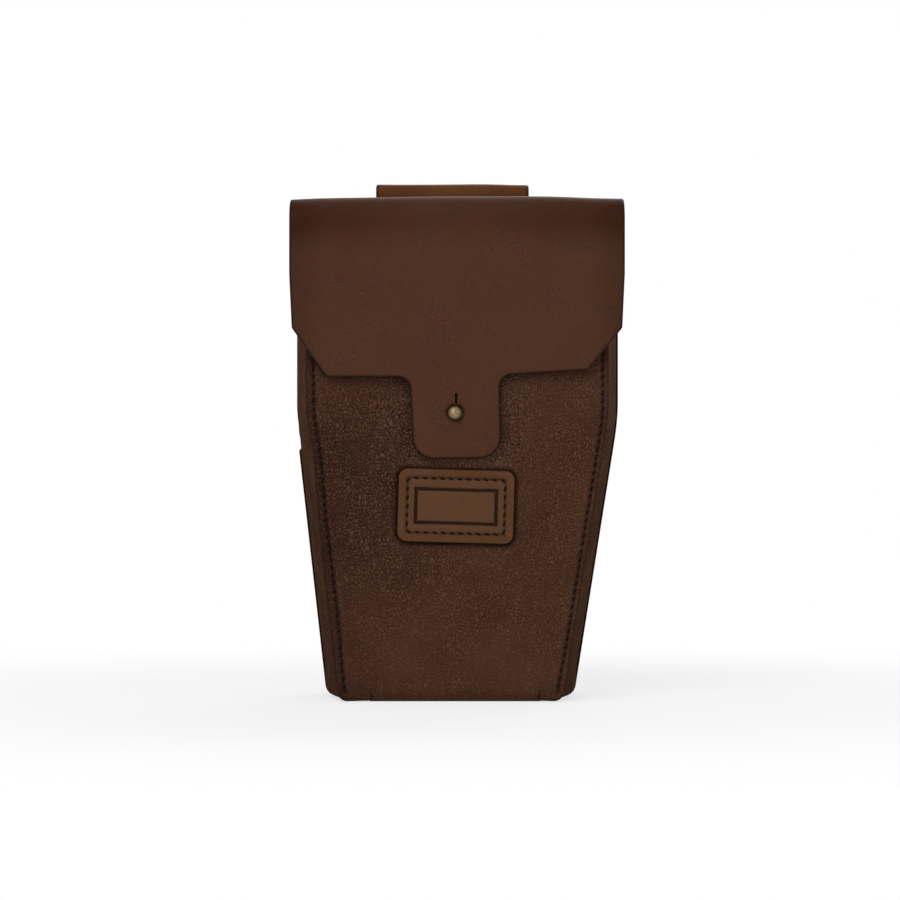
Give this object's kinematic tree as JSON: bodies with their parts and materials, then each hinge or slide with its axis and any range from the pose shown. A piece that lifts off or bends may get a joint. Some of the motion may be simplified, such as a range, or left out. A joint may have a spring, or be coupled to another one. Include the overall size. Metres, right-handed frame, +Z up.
{
  "type": "belt case for a light meter",
  "caption": "Tapered leather belt case for a hand-held light meter, with a folding flap that buttons on a brass stud and a belt loop behind.",
  "frame": {"origin": "under the middle of the whole case, on the surface that it stands on", "axes": "+X to the right as the front is seen, +Y from the front to the back, +Z up to the flap"},
  "size_m": [0.1272, 0.0746, 0.2011],
  "materials": {
    "bridle_leather": "smooth bridle leather, waxed, edges rubbed dark",
    "pebbled_leather": "pebbled leather, satin",
    "gusset_leather": "soft grained leather",
    "loop_leather": "tan bridle leather",
    "badge_leather": "smooth brown leather, pressed",
    "thread": "waxed dark brown thread",
    "brass": "antique brass, turned"
  },
  "bodies": {
    "case": {"back_panel": "bridle_leather", "front_panel": "pebbled_leather", "left_gusset": "gusset_leather", "right_gusset": "gusset_leather", "flap_rear_fold": "bridle_leather", "stud": "brass", "stud_screw": "brass", "badge": "badge_leather", "badge_stitching": "thread", "belt_loop": "loop_leather", "belt_loop_box_stitching": "thread", "belt_loop_row_stitching": "thread", "left_front_stitching": "thread", "right_front_stitching": "thread", "left_back_stitching": "thread", "right_back_stitching": "thread", "bottom_stitching": "thread"},
    "flap_roof": {"flap_top": "bridle_leather", "flap_front_fold": "bridle_leather"},
    "flap_apron": {"flap_front": "bridle_leather"}
  },
  "joints": [
    {"name": "rear_fold", "type": "hinge", "parent": "case", "child": "flap_roof", "pos_m": [0, 0.02326, 0.18953], "axis": [-1, 0, 0], "range_deg": [0, 90], "deforming": ["flap_rear_fold"]},
    {"name": "front_fold", "type": "hinge", "parent": "flap_roof", "child": "flap_apron", "pos_m": [0, -0.03056, 0.18889], "axis": [-1, 0, 0], "range_deg": [0, 90], "deforming": ["flap_front_fold"]}
  ]
}
